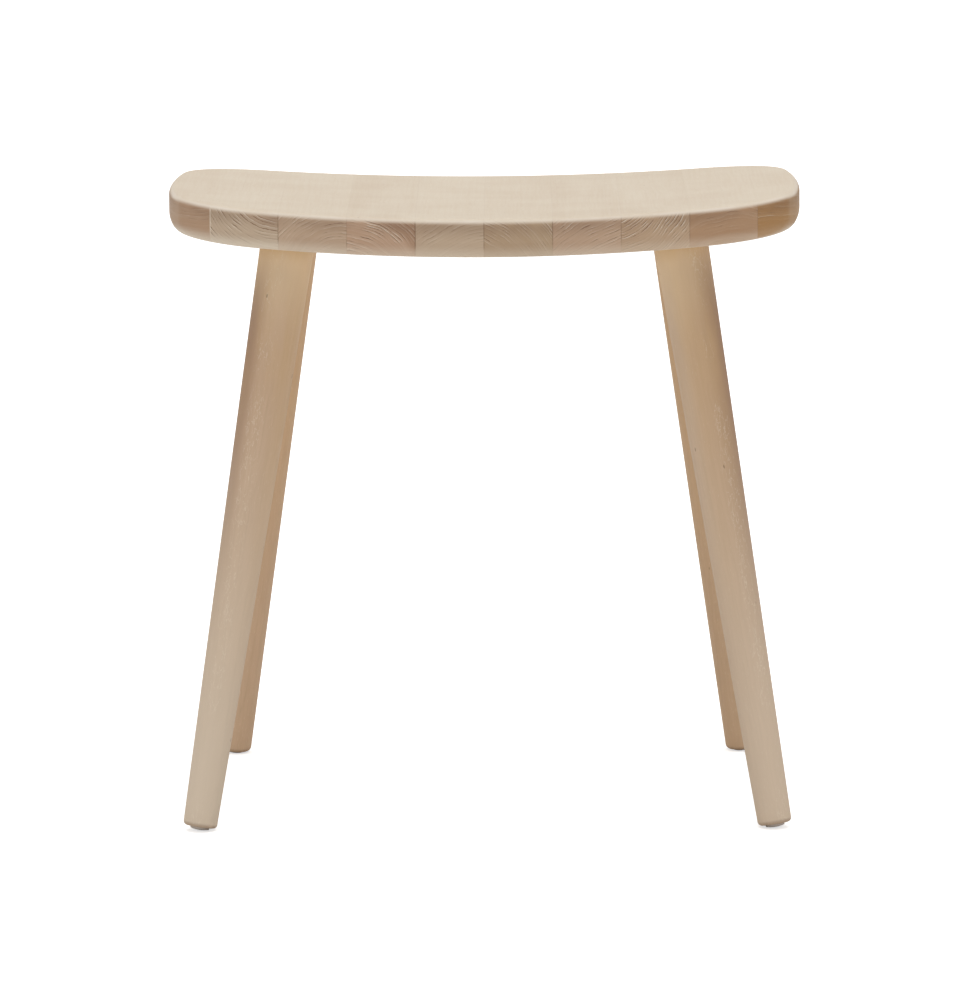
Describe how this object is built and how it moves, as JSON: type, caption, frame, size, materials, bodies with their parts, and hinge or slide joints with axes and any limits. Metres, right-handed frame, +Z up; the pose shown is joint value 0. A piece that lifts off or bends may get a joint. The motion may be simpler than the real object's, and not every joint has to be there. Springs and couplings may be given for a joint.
{
  "type": "stacking stool",
  "caption": "Backless wooden stool with a dished seat of edge-glued staves on splayed, tapered round legs with floor glides.",
  "frame": {"origin": "on the floor, midway between the four legs and under the middle of the seat", "axes": "+X along the seat to the right of someone facing its front, +Y from the front to the rear, +Z up"},
  "size_m": [0.47, 0.3352, 0.4625],
  "materials": {
    "seat_wood": "matt, pale, end grain on the long edges",
    "leg_wood": "matt, pale, lengthwise grain",
    "glide_nylon": "matt, greyish beige",
    "nail_steel": "bright drawn wire"
  },
  "bodies": {
    "root": {"seat_stave_01": "seat_wood", "seat_stave_02": "seat_wood", "seat_stave_03": "seat_wood", "seat_stave_04": "seat_wood", "seat_stave_05": "seat_wood", "seat_stave_06": "seat_wood", "seat_stave_07": "seat_wood", "seat_stave_08": "seat_wood", "seat_stave_09": "seat_wood", "seat_stave_10": "seat_wood", "front_left_leg": "leg_wood", "front_left_glide": "glide_nylon", "front_left_glide_nail": "nail_steel", "front_right_leg": "leg_wood", "front_right_glide": "glide_nylon", "front_right_glide_nail": "nail_steel", "rear_left_leg": "leg_wood", "rear_left_glide": "glide_nylon", "rear_left_glide_nail": "nail_steel", "rear_right_leg": "leg_wood", "rear_right_glide": "glide_nylon", "rear_right_glide_nail": "nail_steel"}
  },
  "joints": []
}
